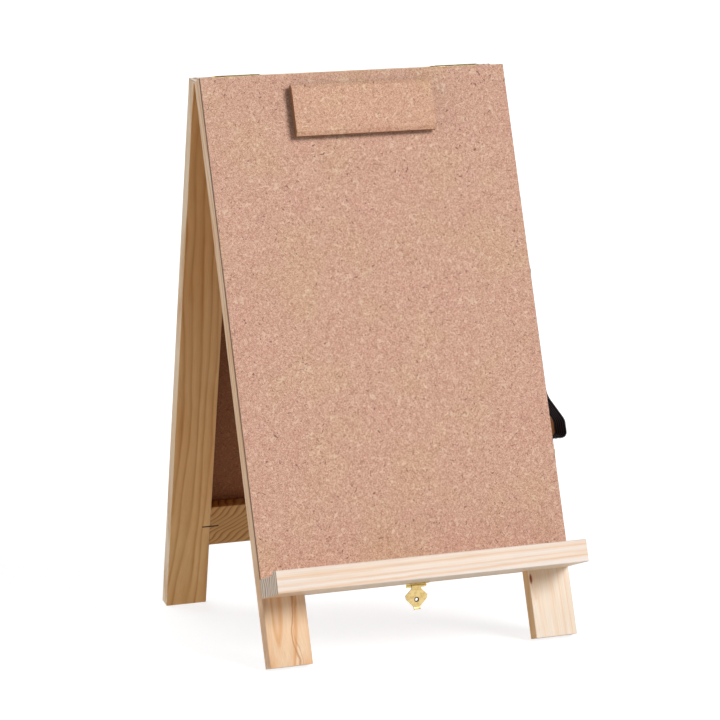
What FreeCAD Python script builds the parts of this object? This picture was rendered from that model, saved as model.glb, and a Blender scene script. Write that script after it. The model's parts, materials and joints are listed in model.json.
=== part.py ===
"""Small folding table easel: two pine leaves hinged together at the top, with a tray, a clasp,
a strap handle and a paper clip.

Sizes are in millimetres. Each leaf is drawn upright and shut: X runs across it, "down" is measured from
its top face, "out" from its inner face, and the hinge pins lie on the X axis. At the end the leaves are
swung apart about the pins and lifted until the inner edges of their feet stand on Z = 0, front towards -Y.
The origin is on the floor, midway across the easel and straight below the hinge pins.
"""

import FreeCAD, Part
import math
import os

# Leaves
WIDTH = 250.0
LEAF_LENGTH = 450.0
LEAF_THICKNESS = 12.0
BAR_WIDTH = 34.0
BOTTOM_RAIL_FOOT = 398.0
BOARD_THICKNESS = 3.0
HALF_SPREAD = 16.0
FOLDED_GAP = 0.6
BAR_EDGE_RADIUS = 0.7
BOARD_EDGE_RADIUS = 0.4
REAR_BOARD_INSET = 3.0

# Tray
TRAY_HEIGHT = 14.5
TRAY_DEPTH = 40.5
LIP_HEIGHT = 2.7
LIP_WIDTH = 7.5
COVE_WIDTH = 4.8
TRAY_EDGE_RADIUS = 1.0
PANEL_GROOVE = 0.5
TRAY_SCREW_SPACING = 70.0
TRAY_SCREW_SINK = 0.4

# Hinges
HINGE_LENGTH = 36.0
HINGE_CENTRES = {"left": -90.0, "right": 91.0}
KNUCKLE_COUNT = 4
KNUCKLE_RADIUS = 2.1
KNUCKLE_GAP = 0.5
AXIS_HEIGHT = 2.5
HINGE_PIN_RADIUS = 0.8
RUNNING_CLEARANCE = 0.05
PLATE_THICKNESS = 1.0
PLATE_DEPTH = 10.0
PLATE_CORNER_RADIUS = 1.5
HINGE_PIN_OVERHANG = 0.2
HINGE_SCREW_SPACING = 22.0
HINGE_SCREW_OUT = 6.0
TURNING_CLEARANCE = 0.35

# Clasp
CLASP_CENTRE = 2.5
CLASP_PLATE_WIDTH = 16.0
CLASP_PLATE_DEPTH = 10.5
CLASP_THICKNESS = 0.8
CLASP_KNUCKLE_RADIUS = 1.3
CLASP_PIN_RADIUS = 0.5
CLASP_AXIS_DROP = 1.7
CLASP_AXIS_OUT = 0.9
CLASP_SCREW_SPACING = 9.2
CLASP_SCREW_OUT = 6.8
FLAP_NECK_WIDTH = 8.0
FLAP_OUTLINE = [(4.0, 0.0), (4.0, 2.4), (9.0, 7.2), (8.5, 10.2), (2.7, 16.2)]
FLAP_HOLE_DROP = 10.6
FLAP_HOLE_RADIUS = 1.7
FLAP_LIP_LENGTH = 2.2
FLAP_LIP_TILT = 35.0
STUD_RADIUS = 1.2
STUD_HEIGHT = 1.6
CATCH_WIDTH = 16.0
CATCH_DEPTH = 5.6
CATCH_SCREW_SPACING = 10.6

# Strap handle on the right side of the front leaf
STRAP_TOP = 158.0
STRAP_FOOT = 319.0
STRAP_SCREWS_AT = [165.0, 308.0]
STRAP_SCREWS_OUT = 5.0
WEBBING_WIDTH = 19.0
LINING_WIDTH = 29.5
WEBBING_THICKNESS = 1.1
LINING_THICKNESS = 0.8
PAD_THICKNESS = 0.45
PAD_WIDTH = 8.0
PAD_LENGTH = 12.0
WASHER_FOOT_RADIUS = 4.4
WASHER_RIM_RADIUS = 3.6
WASHER_HEIGHT = 0.9
STRAP_FRONT = 10.0
STRAP_TWIST = 8.5
STRAP_REACH = 12.45
STRAP_LEAVES_AT = 264.0
STRAP_BULGES_AT = 284.5
STRAP_RETURNS_AT = 296.3
STRAP_RADII = [20.0, 8.0, 3.0, 2.6]

# Paper clip
CLIP_WIDTH = 115.0
CLIP_HEIGHT = 40.5
CLIP_THICKNESS = 5.6
CLIP_BEVEL_RISE = 3.0
CLIP_BEVEL_DEPTH = 2.2
CLIP_CENTRE = 2.0
CLIP_TOP = 10.0
CLIP_STANDOFF = 2.6
MAGNET_RADIUS = 9.0
MAGNET_THICKNESS = 3.7
MAGNET_CLEARANCE = 0.1
MAGNET_SPACING = 76.0
DISC_THICKNESS = 1.5

# Staples across the butt joints
STAPLE_CROWN = 14.0
STAPLE_WIRE = 1.1
STAPLE_LEG = 9.0

# Screws, each as its head's radius, its shank's radius and its length
HINGE_SCREW = (1.9, 1.0, 10.0)
TRAY_SCREW = (3.4, 1.75, 32.0)
CLASP_SCREW = (1.6, 0.8, 8.0)
STRAP_SCREW = (3.0, 1.5, 18.0)
COUNTERSINK = 1.1
CROSS_WIDTH = 0.24
CROSS_DEPTH = 0.6

FRONT = -1
REAR = 1
RIGHT = FreeCAD.Vector(1, 0, 0)
BACK = FreeCAD.Vector(0, 1, 0)
UP = FreeCAD.Vector(0, 0, 1)
DOWN = FreeCAD.Vector(0, 0, -1)
ORIGIN = FreeCAD.Vector(0, 0, 0)
SAME = 0.01
HALF_WIDTH = WIDTH / 2
RAIL_HALF = HALF_WIDTH - BAR_WIDTH
BOARD_FACE = LEAF_THICKNESS + BOARD_THICKNESS
TRAY_TOP = BOTTOM_RAIL_FOOT - TRAY_HEIGHT
PIN_LEVEL = (
    (LEAF_LENGTH + AXIS_HEIGHT) * math.cos(math.radians(HALF_SPREAD))
    - FOLDED_GAP / 2 * math.sin(math.radians(HALF_SPREAD))
)


def spot(leaf, across, down, out):
    """The point of an upright leaf at these distances across, down and out."""
    return FreeCAD.Vector(across, leaf * (out + FOLDED_GAP / 2), -(down + AXIS_HEIGHT))


def block(leaf, across, down, out):
    """A box of an upright leaf between two values each of across, down and out."""
    near = spot(leaf, across[0], down[1], out[0])
    far = spot(leaf, across[1], down[0], out[1])
    corner = FreeCAD.Vector(near.x, min(near.y, far.y), near.z)
    return Part.makeBox(far.x - near.x, abs(far.y - near.y), far.z - near.z, corner)


def outward(leaf):
    """The direction from a leaf's inner face to its board."""
    return FreeCAD.Vector(0, leaf, 0)


def swing(shape, leaf):
    """Swing an upright leaf's piece out to its side, and lift it to standing height."""
    placed = shape.copy()
    placed.rotate(ORIGIN, RIGHT, leaf * HALF_SPREAD)
    placed.translate(FreeCAD.Vector(0, 0, PIN_LEVEL))
    return placed


def swing_point(point, leaf):
    """The standing place of a point of an upright leaf."""
    turned = FreeCAD.Rotation(RIGHT, leaf * HALF_SPREAD).multVec(point)
    return turned + FreeCAD.Vector(0, 0, PIN_LEVEL)


def rounded(shape, radius, direction):
    """The shape with a radius on its straight edges that run in this direction."""
    edges = []
    for edge in shape.Edges:
        run = edge.Vertexes[-1].Point - edge.Vertexes[0].Point
        if run.Length > radius and abs(run.normalize().dot(direction)) > 0.999:
            edges.append(edge)
    return shape.makeFillet(radius, edges)


def screw(top, direction, size):
    """A countersunk screw with a cross in its head, and the plain shape of the hole it fills."""
    head_radius, shank_radius, length = size
    head_height = (head_radius - shank_radius) * COUNTERSINK
    point_length = shank_radius * 2
    shank_length = length - head_height - point_length
    head = Part.makeCone(head_radius, shank_radius, head_height, ORIGIN, DOWN)
    shank = Part.makeCylinder(shank_radius, shank_length, DOWN * head_height, DOWN)
    point = Part.makeCone(shank_radius, 0, point_length, DOWN * (head_height + shank_length), DOWN)
    blank = head.fuse([shank, point]).removeSplitter()
    arm = head_radius * 1.1
    slot = head_radius * CROSS_WIDTH
    depth = head_height * CROSS_DEPTH
    cross_x = Part.makeBox(arm, slot, depth, FreeCAD.Vector(-arm / 2, -slot / 2, -depth))
    cross_y = Part.makeBox(slot, arm, depth, FreeCAD.Vector(-slot / 2, -arm / 2, -depth))
    driven = blank.cut(cross_x.fuse(cross_y))
    place = FreeCAD.Placement(top, FreeCAD.Rotation(DOWN, direction))
    blank.Placement = place
    driven.Placement = place
    return driven, blank


def screw_row(places, direction, size):
    """Equal screws at these places, and their holes."""
    pairs = [screw(place, direction, size) for place in places]
    return [pair[0] for pair in pairs], [pair[1] for pair in pairs]


# Frames

def frame_bars(leaf):
    """Two stiles and two rails, butted together."""
    depth = (0, LEAF_THICKNESS)
    left = block(leaf, (-HALF_WIDTH, -RAIL_HALF), (0, LEAF_LENGTH), depth)
    right = block(leaf, (RAIL_HALF, HALF_WIDTH), (0, LEAF_LENGTH), depth)
    top = block(leaf, (-RAIL_HALF, RAIL_HALF), (0, BAR_WIDTH), depth)
    bottom = block(leaf, (-RAIL_HALF, RAIL_HALF), (BOTTOM_RAIL_FOOT - BAR_WIDTH, BOTTOM_RAIL_FOOT), depth)
    return {
        "stile_left": rounded(left, BAR_EDGE_RADIUS, UP),
        "stile_right": rounded(right, BAR_EDGE_RADIUS, UP),
        "top_rail": rounded(top, BAR_EDGE_RADIUS, RIGHT),
        "bottom_rail": rounded(bottom, BAR_EDGE_RADIUS, RIGHT),
    }


def frame_staples(leaf):
    """One staple across each butt joint, its crown level with the inner face."""
    staples = []
    for joint in (-RAIL_HALF, RAIL_HALF):
        for down in (BAR_WIDTH / 2, BOTTOM_RAIL_FOOT - BAR_WIDTH / 2):
            ends = (joint - STAPLE_CROWN / 2, joint + STAPLE_CROWN / 2)
            thick = (down - STAPLE_WIRE / 2, down + STAPLE_WIRE / 2)
            staple = block(leaf, ends, thick, (0, STAPLE_WIRE))
            legs = [
                block(leaf, (ends[0], ends[0] + STAPLE_WIRE), thick, (0, STAPLE_LEG)),
                block(leaf, (ends[1] - STAPLE_WIRE, ends[1]), thick, (0, STAPLE_LEG)),
            ]
            staples.append(staple.fuse(legs).removeSplitter())
    return staples


def board(leaf, foot, inset):
    """The fibreboard panel on a leaf's outer face, its outer arrises sanded off at the sides and top."""
    half = HALF_WIDTH - inset
    panel = block(leaf, (-half, half), (inset, foot), (LEAF_THICKNESS, BOARD_FACE))
    face = spot(leaf, 0, 0, BOARD_FACE).y
    arrises = []
    for edge in panel.Edges:
        middle = edge.BoundBox.Center
        if abs(middle.y - face) < SAME and middle.z > panel.BoundBox.ZMin + SAME:
            arrises.append(edge)
    return panel.makeFillet(BOARD_EDGE_RADIUS, arrises)


# Tray

def tray():
    """A solid bar with a low lip along its front edge, coved on the inside, and a groove under the panel."""
    back = LEAF_THICKNESS
    front = LEAF_THICKNESS + TRAY_DEPTH
    lip_top = TRAY_TOP - LIP_HEIGHT
    lip_back = front - LIP_WIDTH
    cove_foot = lip_back - COVE_WIDTH
    cove_middle = spot(FRONT, -HALF_WIDTH, TRAY_TOP - LIP_HEIGHT * 0.3, lip_back - COVE_WIDTH * 0.32)
    corners = [
        spot(FRONT, -HALF_WIDTH, TRAY_TOP, cove_foot),
        spot(FRONT, -HALF_WIDTH, TRAY_TOP, BOARD_FACE),
        spot(FRONT, -HALF_WIDTH, TRAY_TOP + PANEL_GROOVE, BOARD_FACE),
        spot(FRONT, -HALF_WIDTH, TRAY_TOP + PANEL_GROOVE, back),
        spot(FRONT, -HALF_WIDTH, BOTTOM_RAIL_FOOT, back),
        spot(FRONT, -HALF_WIDTH, BOTTOM_RAIL_FOOT, front),
        spot(FRONT, -HALF_WIDTH, lip_top, front),
        spot(FRONT, -HALF_WIDTH, lip_top, lip_back),
    ]
    edges = [Part.makeLine(start, end) for start, end in zip(corners, corners[1:])]
    edges.append(Part.Arc(corners[-1], cove_middle, corners[0]).toShape())
    bar = Part.Face(Part.Wire(edges)).extrude(RIGHT * WIDTH)
    front_edges = []
    for edge in bar.Edges:
        middle = edge.BoundBox.Center
        if edge.BoundBox.XLength > WIDTH / 2 and abs(middle.y - bar.BoundBox.YMin) < SAME:
            front_edges.append(edge)
    return bar.makeFillet(TRAY_EDGE_RADIUS, front_edges)


def tray_screw_places():
    """Three places on the inner face of the front bottom rail, at the tray's mid height."""
    down = BOTTOM_RAIL_FOOT - TRAY_HEIGHT / 2
    return [spot(FRONT, step * TRAY_SCREW_SPACING, down, TRAY_SCREW_SINK) for step in (-1, 0, 1)]


# Hinges

def knuckles(centre, turn):
    """The barrel segments of one plate: every second one, starting at the first or the second."""
    pitch = HINGE_LENGTH / KNUCKLE_COUNT
    start = centre - HINGE_LENGTH / 2
    return [(start + index * pitch, pitch) for index in range(turn, KNUCKLE_COUNT, 2)]


def rod(start, length, radius):
    """A round bar on the X axis."""
    return Part.makeCylinder(radius, length, FreeCAD.Vector(start, 0, 0), RIGHT)


def hinge_plate(leaf, centre, bore_radius):
    """A plate on a leaf's top face, with its own barrel segments and room for the other plate's."""
    own_turn = 0 if leaf == FRONT else 1
    ends = (centre - HINGE_LENGTH / 2, centre + HINGE_LENGTH / 2)
    flat = block(leaf, ends, (-PLATE_THICKNESS, 0), (0, PLATE_DEPTH))
    corners = [edge for edge in flat.Edges if abs(edge.BoundBox.ZLength - PLATE_THICKNESS) < SAME]
    outer = [edge for edge in corners if abs(edge.BoundBox.Center.y) > PLATE_DEPTH / 2]
    plate = flat.makeFillet(PLATE_CORNER_RADIUS, outer)
    barrel = []
    for x, pitch in knuckles(centre, own_turn):
        barrel.append(rod(x + KNUCKLE_GAP / 2, pitch - KNUCKLE_GAP, KNUCKLE_RADIUS))
    plate = plate.fuse(barrel).removeSplitter()
    for x, pitch in knuckles(centre, 1 - own_turn):
        plate = plate.cut(rod(x - KNUCKLE_GAP / 2, pitch + KNUCKLE_GAP, KNUCKLE_RADIUS + TURNING_CLEARANCE))
    return plate.cut(rod(ends[0] - 1, HINGE_LENGTH + 2, bore_radius))


def hinge_screw_places(leaf):
    """Two places on each of a leaf's two hinge plates."""
    places = []
    for centre in HINGE_CENTRES.values():
        for side in (-1, 1):
            across = centre + side * HINGE_SCREW_SPACING / 2
            places.append(spot(leaf, across, -PLATE_THICKNESS, HINGE_SCREW_OUT))
    return places


def hinge_pins():
    """One pin through each barrel."""
    start = -HINGE_LENGTH / 2 - HINGE_PIN_OVERHANG
    length = HINGE_LENGTH + 2 * HINGE_PIN_OVERHANG
    return [rod(centre + start, length, HINGE_PIN_RADIUS) for centre in HINGE_CENTRES.values()]


# Clasp

def clasp_axis():
    """The clasp pin's centre on the upright front leaf."""
    return spot(FRONT, CLASP_CENTRE, BOTTOM_RAIL_FOOT + CLASP_AXIS_DROP, CLASP_AXIS_OUT)


def clasp_rod(start, end, radius):
    """A round bar on the clasp's axis, between two distances from its middle."""
    return Part.makeCylinder(radius, end - start, clasp_axis() + RIGHT * start, RIGHT)


def clasp_plate():
    """The plate under the front bottom rail, with a knuckle each side of the flap's."""
    half = CLASP_PLATE_WIDTH / 2
    neck = FLAP_NECK_WIDTH / 2
    ends = (CLASP_CENTRE - half, CLASP_CENTRE + half)
    levels = (BOTTOM_RAIL_FOOT, BOTTOM_RAIL_FOOT + CLASP_THICKNESS)
    plate = block(FRONT, ends, levels, (CLASP_AXIS_OUT, CLASP_PLATE_DEPTH))
    inner = neck + KNUCKLE_GAP
    for start, end in ((-half, -inner), (inner, half)):
        cheek = block(
            FRONT,
            (CLASP_CENTRE + start, CLASP_CENTRE + end),
            (BOTTOM_RAIL_FOOT, BOTTOM_RAIL_FOOT + CLASP_AXIS_DROP),
            (CLASP_AXIS_OUT, CLASP_AXIS_OUT + CLASP_KNUCKLE_RADIUS),
        )
        plate = plate.fuse([clasp_rod(start, end, CLASP_KNUCKLE_RADIUS), cheek])
    room = clasp_rod(-inner, inner, CLASP_KNUCKLE_RADIUS + TURNING_CLEARANCE)
    bore = clasp_rod(-half - 1, half + 1, CLASP_PIN_RADIUS)
    return plate.cut(room.fuse(bore)).removeSplitter()


def clasp_screw_places():
    """Two places on the clasp plate."""
    level = BOTTOM_RAIL_FOOT + CLASP_THICKNESS
    half = CLASP_SCREW_SPACING / 2
    return [spot(FRONT, CLASP_CENTRE + side * half, level, CLASP_SCREW_OUT) for side in (-1, 1)]


def clasp_flap():
    """The hanging flap: a neck, two shoulders, a point with a bent lip, and a hole for the stud."""
    neck = FLAP_NECK_WIDTH / 2
    half = [FreeCAD.Vector(across, -CLASP_THICKNESS / 2, -drop) for across, drop in FLAP_OUTLINE]
    mirrored = [FreeCAD.Vector(-point.x, point.y, point.z) for point in reversed(half)]
    loop = half + mirrored + half[:1]
    flap = Part.Face(Part.makePolygon(loop)).extrude(BACK * CLASP_THICKNESS)
    hole_base = FreeCAD.Vector(0, -CLASP_THICKNESS, -FLAP_HOLE_DROP)
    flap = flap.cut(Part.makeCylinder(FLAP_HOLE_RADIUS, 2 * CLASP_THICKNESS, hole_base, BACK))
    tip_width, tip_drop = FLAP_OUTLINE[-1]
    lip_corner = FreeCAD.Vector(-tip_width, -CLASP_THICKNESS / 2, -tip_drop - FLAP_LIP_LENGTH)
    lip = Part.makeBox(2 * tip_width, CLASP_THICKNESS, FLAP_LIP_LENGTH + 0.2, lip_corner)
    lip.rotate(FreeCAD.Vector(0, 0, -tip_drop), RIGHT, -FLAP_LIP_TILT)
    knuckle_base = FreeCAD.Vector(-neck, 0, 0)
    knuckle = Part.makeCylinder(CLASP_KNUCKLE_RADIUS, 2 * neck, knuckle_base, RIGHT)
    bore = Part.makeCylinder(CLASP_PIN_RADIUS + RUNNING_CLEARANCE, 2 * neck, knuckle_base, RIGHT)
    flap = flap.fuse([knuckle, lip]).removeSplitter().cut(bore)
    flap.translate(swing_point(clasp_axis(), FRONT))
    return flap


def catch_stud_out():
    """How far out from the rear leaf's inner face the stud stands, under the flap's hole when shut."""
    return FLAP_HOLE_DROP - CLASP_AXIS_OUT - FOLDED_GAP


def catch_plate():
    """The plate under the rear bottom rail, with a domed stud that the flap's hole goes over."""
    middle = catch_stud_out()
    ends = (CLASP_CENTRE - CATCH_WIDTH / 2, CLASP_CENTRE + CATCH_WIDTH / 2)
    levels = (BOTTOM_RAIL_FOOT, BOTTOM_RAIL_FOOT + CLASP_THICKNESS)
    plate = block(REAR, ends, levels, (middle - CATCH_DEPTH / 2, middle + CATCH_DEPTH / 2))
    stud_height = CLASP_THICKNESS + STUD_HEIGHT
    base = spot(REAR, CLASP_CENTRE, BOTTOM_RAIL_FOOT, middle)
    stud = Part.makeCylinder(STUD_RADIUS, stud_height, base, DOWN)
    dome = Part.makeSphere(STUD_RADIUS, base + DOWN * stud_height)
    return plate.fuse([stud, dome]).removeSplitter()


def catch_screw_places():
    """Two places on the catch plate, each side of the stud."""
    level = BOTTOM_RAIL_FOOT + CLASP_THICKNESS
    half = CATCH_SCREW_SPACING / 2
    return [spot(REAR, CLASP_CENTRE + side * half, level, catch_stud_out()) for side in (-1, 1)]


# Strap handle

def turn_corners(points, radii):
    """A wire through these points, with an arc of the given radius at each inner one."""
    edges = []
    start = points[0]
    for before, corner, after, radius in zip(points, points[1:], points[2:], radii):
        back = (before - corner).normalize()
        ahead = (after - corner).normalize()
        half_angle = back.getAngle(ahead) / 2
        reach = radius / math.tan(half_angle)
        bisector = (back + ahead).normalize()
        centre = corner + bisector * (radius / math.sin(half_angle))
        enter = corner + back * reach
        leave = corner + ahead * reach
        edges.append(Part.makeLine(start, enter))
        edges.append(Part.Arc(enter, centre - bisector * radius, leave).toShape())
        start = leave
    edges.append(Part.makeLine(start, points[-1]))
    return Part.Wire(edges)


def strap_band(thickness, width):
    """The drooping strap, this thick from its inner face.

    It lies along the stile, leans out, hangs, and folds back in to its lower screw.
    """
    side = HALF_WIDTH + PAD_THICKNESS
    far = side + STRAP_REACH
    route = [
        (side, STRAP_TOP),
        (side, STRAP_LEAVES_AT),
        (far, STRAP_BULGES_AT),
        (far, STRAP_RETURNS_AT),
        (side, STRAP_RETURNS_AT),
        (side, STRAP_FOOT),
    ]
    line = turn_corners([spot(FRONT, across, down, STRAP_FRONT) for across, down in route], STRAP_RADII)
    face = line.makeOffset2D(thickness, 0, True, True, True)
    return face.extrude(FreeCAD.Vector(0, width, width * math.tan(math.radians(STRAP_TWIST))))


def strap_layers():
    """The ribbed webbing, and the wider lining on its outer face."""
    whole = strap_band(WEBBING_THICKNESS + LINING_THICKNESS, LINING_WIDTH)
    lining = whole.cut(strap_band(WEBBING_THICKNESS, LINING_WIDTH))
    return strap_band(WEBBING_THICKNESS, WEBBING_WIDTH), lining


def strap_screw_places(inset):
    """The two places where the strap is screwed to the stile, this far out from the leaf's side."""
    return [spot(FRONT, HALF_WIDTH + inset, down, STRAP_SCREWS_OUT) for down in STRAP_SCREWS_AT]


def strap_pads():
    """A thin pad under each end of the strap."""
    pads = []
    for place in strap_screw_places(0):
        corner = place - FreeCAD.Vector(0, PAD_WIDTH / 2, PAD_LENGTH / 2)
        pads.append(Part.makeBox(PAD_THICKNESS, PAD_WIDTH, PAD_LENGTH, corner))
    return pads


def strap_washers():
    """A cup washer under each strap screw's head."""
    washers = []
    for place in strap_screw_places(PAD_THICKNESS + WEBBING_THICKNESS + LINING_THICKNESS):
        washers.append(Part.makeCone(WASHER_FOOT_RADIUS, WASHER_RIM_RADIUS, WASHER_HEIGHT, place, RIGHT))
    return washers


# Paper clip

def clip_block():
    """A flat bar standing off the panel, the front arrises of its long edges bevelled."""
    back = BOARD_FACE + CLIP_STANDOFF
    front = back + CLIP_THICKNESS
    foot = CLIP_TOP + CLIP_HEIGHT
    left = CLIP_CENTRE - CLIP_WIDTH / 2
    section = [
        (CLIP_TOP, back),
        (CLIP_TOP, front - CLIP_BEVEL_DEPTH),
        (CLIP_TOP + CLIP_BEVEL_RISE, front),
        (foot - CLIP_BEVEL_RISE, front),
        (foot, front - CLIP_BEVEL_DEPTH),
        (foot, back),
        (CLIP_TOP, back),
    ]
    end = Part.makePolygon([spot(FRONT, left, down, out) for down, out in section])
    return Part.Face(end).extrude(RIGHT * CLIP_WIDTH)


def clip_discs(out, thickness):
    """Two discs side by side behind the clip block, from this distance out."""
    discs = []
    for offset in (-MAGNET_SPACING / 2, MAGNET_SPACING / 2):
        base = spot(FRONT, CLIP_CENTRE + offset, CLIP_TOP + CLIP_HEIGHT / 2, out)
        discs.append(Part.makeCylinder(MAGNET_RADIUS, thickness, base, outward(FRONT)))
    return discs


# The whole easel

def front_leaf():
    """Every piece of the front leaf, upright."""
    bars = frame_bars(FRONT)
    staples = frame_staples(FRONT)
    panel = board(FRONT, TRAY_TOP, 0)
    ledge = tray()
    hinge_screws, hinge_holes = screw_row(hinge_screw_places(FRONT), DOWN, HINGE_SCREW)
    tray_screws, tray_holes = screw_row(tray_screw_places(), outward(FRONT), TRAY_SCREW)
    clasp_screws, clasp_holes = screw_row(clasp_screw_places(), UP, CLASP_SCREW)
    strap_depth = PAD_THICKNESS + WEBBING_THICKNESS + LINING_THICKNESS + WASHER_HEIGHT
    strap_screws, strap_holes = screw_row(strap_screw_places(strap_depth), RIGHT * -1, STRAP_SCREW)
    webbing, lining = strap_layers()
    discs = clip_discs(BOARD_FACE - DISC_THICKNESS, DISC_THICKNESS)
    plates = {side: hinge_plate(FRONT, centre, HINGE_PIN_RADIUS) for side, centre in HINGE_CENTRES.items()}
    return {
        "front_stile_left": bars["stile_left"].cut(staples + hinge_holes),
        "front_stile_right": bars["stile_right"].cut(staples + hinge_holes + strap_holes),
        "front_top_rail": bars["top_rail"].cut(staples + hinge_holes),
        "front_bottom_rail": bars["bottom_rail"].cut(staples + tray_holes + clasp_holes),
        "front_board": panel.cut(discs),
        "front_frame_staples": staples,
        "tray": ledge.cut(tray_holes),
        "tray_screws": tray_screws,
        "hinge_left_front_plate": plates["left"].cut(hinge_holes),
        "hinge_right_front_plate": plates["right"].cut(hinge_holes),
        "hinge_pins": hinge_pins(),
        "front_hinge_screws": hinge_screws,
        "clasp_plate": clasp_plate().cut(clasp_holes),
        "clasp_pin": clasp_rod(-CLASP_PLATE_WIDTH / 2, CLASP_PLATE_WIDTH / 2, CLASP_PIN_RADIUS),
        "clasp_screws": clasp_screws,
        "handle_pads": [pad.cut(strap_holes) for pad in strap_pads()],
        "handle_webbing": webbing.cut(strap_holes),
        "handle_lining": lining.cut(strap_holes),
        "handle_washers": [washer.cut(strap_holes) for washer in strap_washers()],
        "handle_screws": strap_screws,
        "clip_discs": discs,
    }


def rear_leaf():
    """Every piece of the rear leaf, upright."""
    bars = frame_bars(REAR)
    staples = frame_staples(REAR)
    hinge_screws, hinge_holes = screw_row(hinge_screw_places(REAR), DOWN, HINGE_SCREW)
    catch_screws, catch_holes = screw_row(catch_screw_places(), UP, CLASP_SCREW)
    bore = HINGE_PIN_RADIUS + RUNNING_CLEARANCE
    plates = {side: hinge_plate(REAR, centre, bore) for side, centre in HINGE_CENTRES.items()}
    return {
        "rear_stile_left": bars["stile_left"].cut(staples + hinge_holes),
        "rear_stile_right": bars["stile_right"].cut(staples + hinge_holes),
        "rear_top_rail": bars["top_rail"].cut(staples + hinge_holes),
        "rear_bottom_rail": bars["bottom_rail"].cut(staples + catch_holes),
        "rear_board": board(REAR, BOTTOM_RAIL_FOOT - REAR_BOARD_INSET, REAR_BOARD_INSET),
        "rear_frame_staples": staples,
        "hinge_left_rear_plate": plates["left"].cut(hinge_holes),
        "hinge_right_rear_plate": plates["right"].cut(hinge_holes),
        "rear_hinge_screws": hinge_screws,
        "catch_plate": catch_plate().cut(catch_holes),
        "catch_screws": catch_screws,
    }


def paper_clip():
    """The clip block, and the magnets let into its back that hold it to the panel's discs, upright."""
    magnets = clip_discs(BOARD_FACE + MAGNET_CLEARANCE, MAGNET_THICKNESS)
    return {"clip_block": clip_block().cut(magnets), "clip_magnets": magnets}


def write(name, shape):
    """Write one node, a single solid or a group of equal ones."""
    solids = shape if isinstance(shape, list) else [shape]
    body = solids[0] if len(solids) == 1 else Part.makeCompound(solids)
    print(name, len(body.Solids), "solids, valid", body.isValid(), "volume", round(body.Volume, 1))
    body.exportStep("parts/" + name + ".step")


def build():
    """Place every piece and write it."""
    os.makedirs("parts", exist_ok=True)
    for leaf, pieces in ((FRONT, front_leaf()), (FRONT, paper_clip()), (REAR, rear_leaf())):
        for name, shape in pieces.items():
            if isinstance(shape, list):
                write(name, [swing(solid, leaf) for solid in shape])
            else:
                write(name, swing(shape, leaf))
    write("clasp_flap", clasp_flap())
    print("hinge pin level", round(PIN_LEVEL, 3), "clasp axis", swing_point(clasp_axis(), FRONT))


build()
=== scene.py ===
"""Looks for the folding table easel: pine, fibreboard, brass, the strap handle, light and camera.

Lengths are in metres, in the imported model's frame: +Z up, the front towards -Y. Places on a leaf are
given as across (X), down from its top face and out from its inner face, and leaf_point turns them into
the frame. The spread and the hinge pins' level are read from the fold joint.
"""

import json
import math

import bmesh
import bpy
from mathutils import Matrix, Vector


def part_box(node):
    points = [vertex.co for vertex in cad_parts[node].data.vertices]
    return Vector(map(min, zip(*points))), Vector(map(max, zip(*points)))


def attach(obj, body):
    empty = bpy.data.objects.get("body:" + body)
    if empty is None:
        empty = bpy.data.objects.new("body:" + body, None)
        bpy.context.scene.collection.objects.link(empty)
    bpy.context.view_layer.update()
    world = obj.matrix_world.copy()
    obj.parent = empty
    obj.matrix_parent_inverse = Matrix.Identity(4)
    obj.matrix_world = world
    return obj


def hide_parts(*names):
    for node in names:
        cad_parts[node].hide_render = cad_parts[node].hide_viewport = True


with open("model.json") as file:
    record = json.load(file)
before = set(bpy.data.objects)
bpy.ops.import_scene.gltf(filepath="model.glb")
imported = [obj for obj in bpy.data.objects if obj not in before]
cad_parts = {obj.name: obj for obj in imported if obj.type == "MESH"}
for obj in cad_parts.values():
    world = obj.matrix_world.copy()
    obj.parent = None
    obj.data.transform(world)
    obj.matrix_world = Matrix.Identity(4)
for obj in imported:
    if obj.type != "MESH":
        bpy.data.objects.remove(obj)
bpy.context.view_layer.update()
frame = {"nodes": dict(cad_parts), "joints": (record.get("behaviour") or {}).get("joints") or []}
nodes = frame["nodes"]
joints = {joint["name"]: joint for joint in frame["joints"]}

# The leaves. The spread, the pins' level and the width are the frame's, and the rest repeats the part's source
FRONT = -1
REAR = 1
PIN_LEVEL = joints["leg_fold"]["pos_m"][2]
HALF_SPREAD = math.radians(-joints["leg_fold"]["range_deg"][0] / 2)
AXIS_HEIGHT = 0.0025
HALF_GAP = 0.0003
FLAP_HOLE_DROP = 0.0106
HALF_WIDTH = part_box("front_board")[1].x


def leaf_point(leaf, across, down, out):
    """A place on a leaf, in the frame."""
    below = down + AXIS_HEIGHT
    outward = out + HALF_GAP
    sine = math.sin(HALF_SPREAD)
    cosine = math.cos(HALF_SPREAD)
    y = leaf * (below * sine + outward * cosine)
    z = PIN_LEVEL - below * cosine + outward * sine
    return Vector((across, y, z))


# ---------------------------------------------------------------- node helpers

def new_material(name):
    """An empty node material, its tree and its shader."""
    material = bpy.data.materials.new(name)
    material.use_nodes = True
    tree = material.node_tree
    return material, tree, tree.nodes["Principled BSDF"]


def link(tree, source, target):
    """Joins an output to an input."""
    tree.links.new(source, target)


def feed(tree, socket, value):
    """Sets an input from a number, a colour or another node's output."""
    if isinstance(value, bpy.types.NodeSocket):
        link(tree, value, socket)
    else:
        socket.default_value = value


def math_node(tree, operation, first, second=0.0):
    """The result of a sum on two values."""
    node = tree.nodes.new("ShaderNodeMath")
    node.operation = operation
    feed(tree, node.inputs[0], first)
    feed(tree, node.inputs[1], second)
    return node.outputs[0]


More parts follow.
